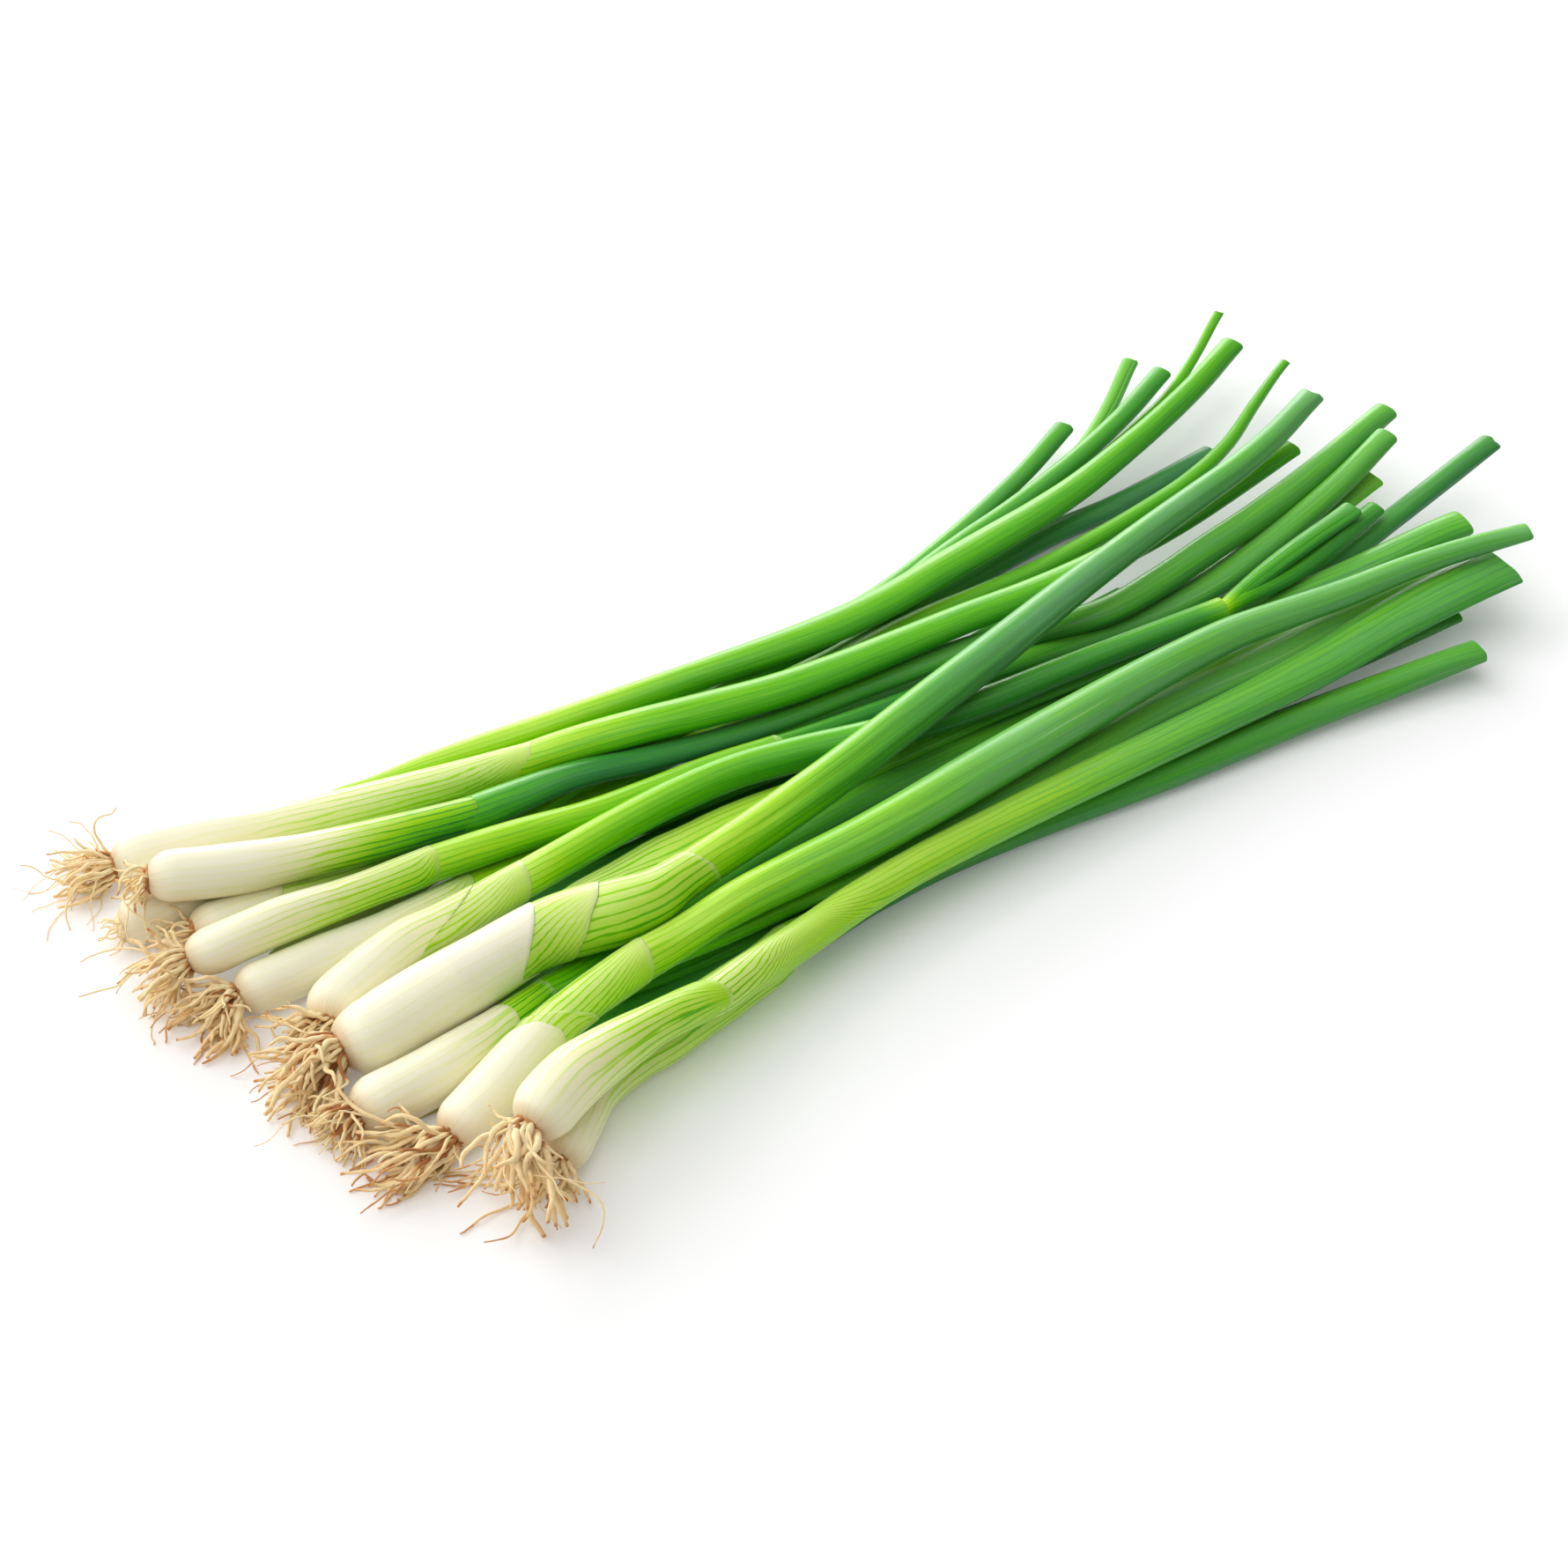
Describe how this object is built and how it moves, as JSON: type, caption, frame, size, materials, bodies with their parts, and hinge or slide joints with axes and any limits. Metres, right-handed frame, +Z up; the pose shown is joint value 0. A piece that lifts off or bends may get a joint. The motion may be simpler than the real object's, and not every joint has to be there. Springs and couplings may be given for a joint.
{
  "type": "spring onion bunch",
  "caption": "Loose fanned bunch of spring onions lying on a table, pale bulbs with root tufts at one end, long green leaves cut off at the other.",
  "frame": {"origin": "middle of the bunch's bounding box in plan, on the table that it lies on", "axes": "+X along the onions, from the root ends to the cut leaf tips; +Z up from the table"},
  "size_m": [0.3764, 0.1642, 0.0264],
  "materials": {
    "stalk": "smooth, moist, slightly glossy",
    "leaf": "smooth, waxy satin",
    "roots": "dry, matt, fibrous"
  },
  "bodies": {
    "root": {"onion_01_stalk": "stalk", "onion_01_leaf_a": "leaf", "onion_01_leaf_b": "leaf", "onion_01_leaf_c": "leaf", "onion_02_stalk": "stalk", "onion_02_leaf_a": "leaf", "onion_02_leaf_b": "leaf", "onion_03_stalk": "stalk", "onion_03_leaf_a": "leaf", "onion_03_leaf_b": "leaf", "onion_04_stalk": "stalk", "onion_04_leaf_a": "leaf", "onion_04_leaf_b": "leaf", "onion_05_stalk": "stalk", "onion_05_leaf_a": "leaf", "onion_05_leaf_b": "leaf", "onion_06_stalk": "stalk", "onion_06_leaf_a": "leaf", "onion_07_stalk": "stalk", "onion_07_leaf_a": "leaf", "onion_07_leaf_b": "leaf", "onion_07_leaf_c": "leaf", "onion_08_stalk": "stalk", "onion_08_leaf_a": "leaf", "onion_08_leaf_b": "leaf", "onion_09_stalk": "stalk", "onion_09_leaf_a": "leaf", "onion_09_leaf_b": "leaf", "onion_10_stalk": "stalk", "onion_10_leaf_a": "leaf", "onion_10_leaf_b": "leaf", "onion_11_stalk": "stalk", "onion_11_leaf_a": "leaf", "onion_12_stalk": "stalk", "onion_12_leaf_a": "leaf", "onion_01_roots": "roots", "onion_02_roots": "roots", "onion_03_roots": "roots", "onion_04_roots": "roots", "onion_05_roots": "roots", "onion_06_roots": "roots", "onion_07_roots": "roots", "onion_08_roots": "roots", "onion_09_roots": "roots", "onion_10_roots": "roots", "onion_11_roots": "roots", "onion_12_roots": "roots"}
  },
  "joints": []
}
